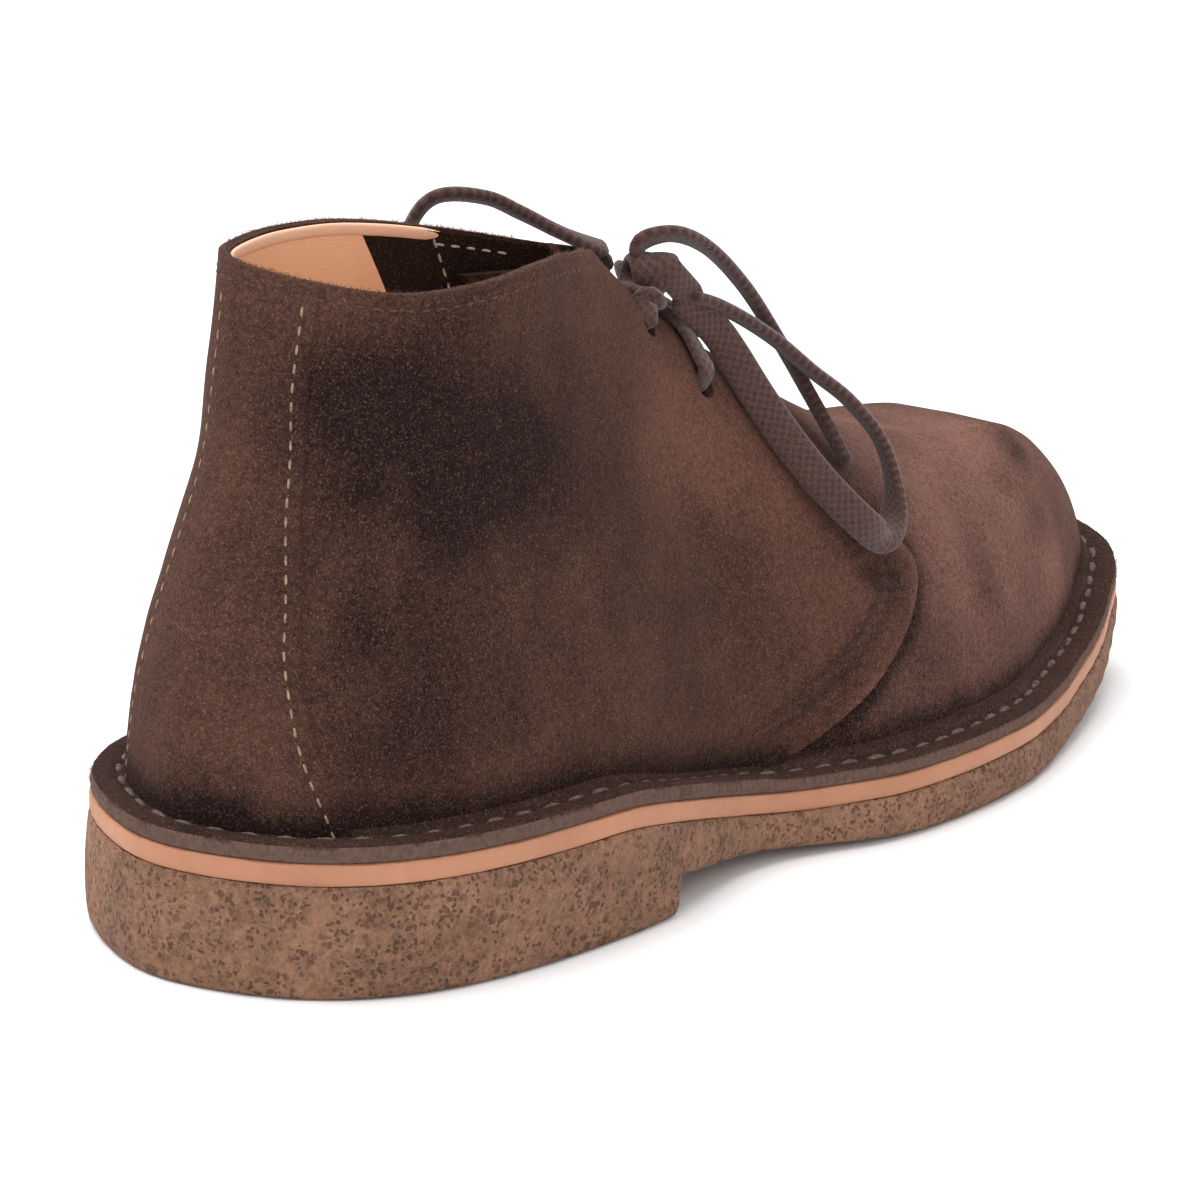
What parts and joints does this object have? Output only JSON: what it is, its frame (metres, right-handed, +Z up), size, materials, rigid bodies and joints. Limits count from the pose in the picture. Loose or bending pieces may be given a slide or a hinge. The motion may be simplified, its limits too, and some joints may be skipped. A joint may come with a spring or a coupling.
{
  "type": "desert boot",
  "caption": "Ankle-high suede boot for the right foot, with a stitched-down upper, leather midsole, tongue, tied laces and a crepe sole with its heel.",
  "frame": {"origin": "middle of the boot's bounding box, on the floor that it stands on", "axes": "+X to the lateral side, +Y from the heel to the toe, +Z up"},
  "size_m": [0.1088, 0.3, 0.1261],
  "materials": {
    "crepe": "matt natural crepe with pits and specks",
    "tan_leather": "smooth tan leather",
    "suede": "napped dark brown suede",
    "lace": "flat woven dark brown lace"
  },
  "bodies": {
    "root": {"outsole": "crepe", "midsole": "tan_leather", "upper": "suede", "insole": "tan_leather", "tongue": "suede", "lace_bar": "lace", "lace_knot": "lace", "lace_loop_lateral": "lace", "lace_loop_medial": "lace", "lace_end_lateral": "lace", "lace_end_medial": "lace"}
  },
  "joints": []
}
